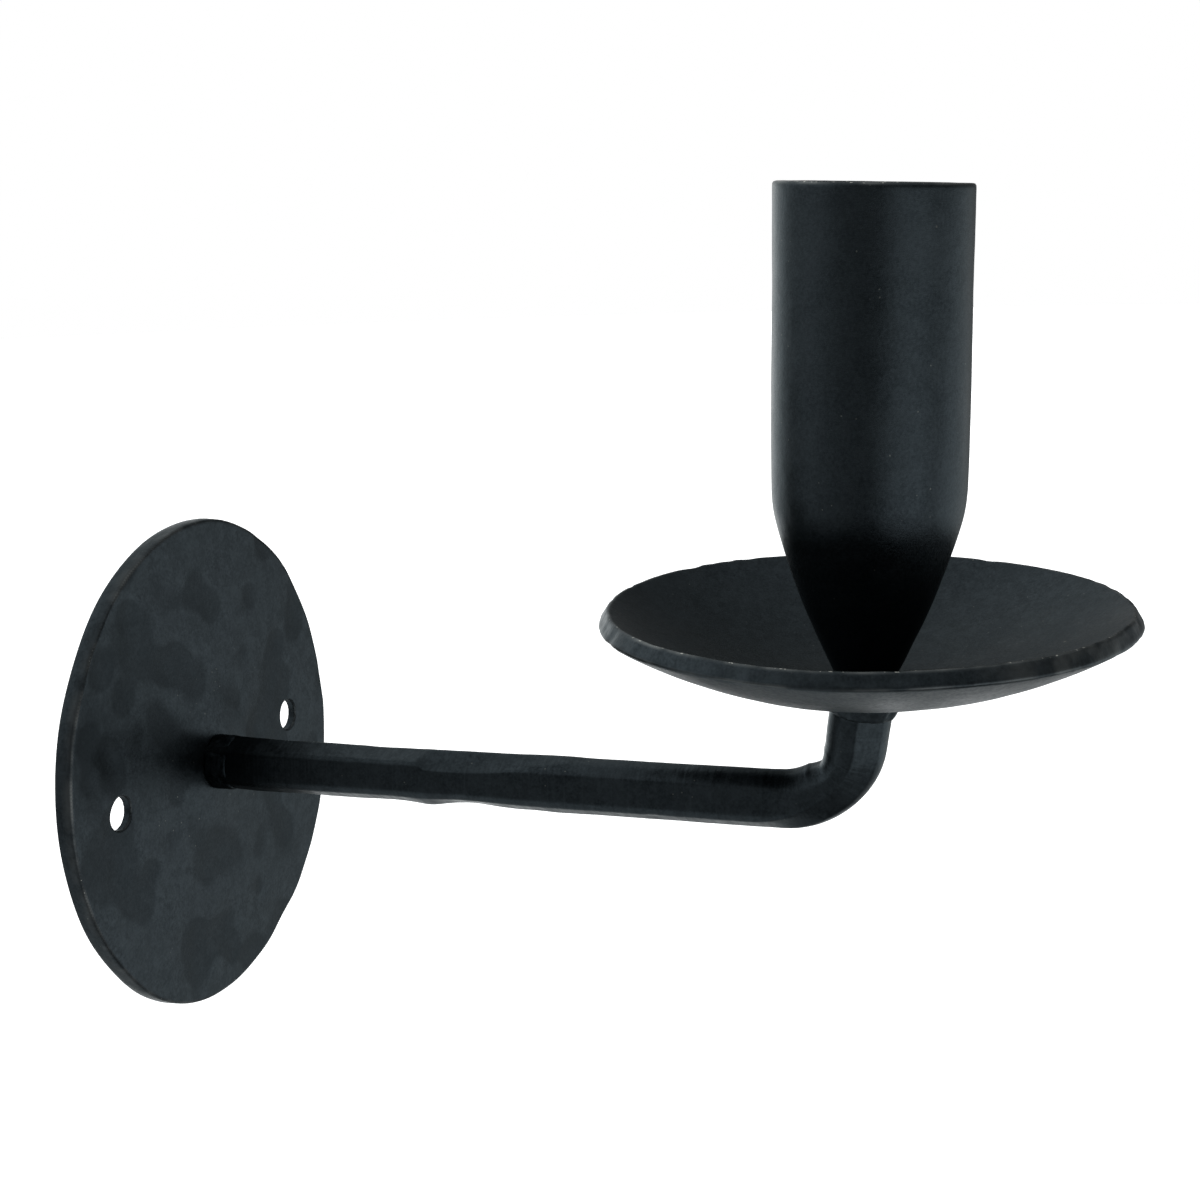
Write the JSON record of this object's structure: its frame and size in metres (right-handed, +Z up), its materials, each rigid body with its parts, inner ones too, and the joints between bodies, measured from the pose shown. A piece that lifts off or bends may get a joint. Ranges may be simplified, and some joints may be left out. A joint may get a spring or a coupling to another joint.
{
  "type": "wall sconce candle holder",
  "caption": "Wall sconce for one taper candle: a round wall plate, a bent bar arm, a dished drip pan and an upright cup with a drawn-in foot, in blackened forged iron.",
  "frame": {"origin": "centre of the wall plate's back, on the wall", "axes": "+Z up; +Y into the wall; the arm runs out from the wall along -Y; X along the wall, to the right when looking at the wall"},
  "size_m": [0.076, 0.143, 0.1227],
  "materials": {
    "blackened_iron": "satin, blackened and waxed forged iron",
    "weld_metal": "rough blackened weld bead"
  },
  "bodies": {
    "root": {"wall_plate": "blackened_iron", "arm": "blackened_iron", "plate_weld": "weld_metal", "drip_pan": "blackened_iron", "pan_weld": "weld_metal", "candle_cup": "blackened_iron"}
  },
  "joints": []
}
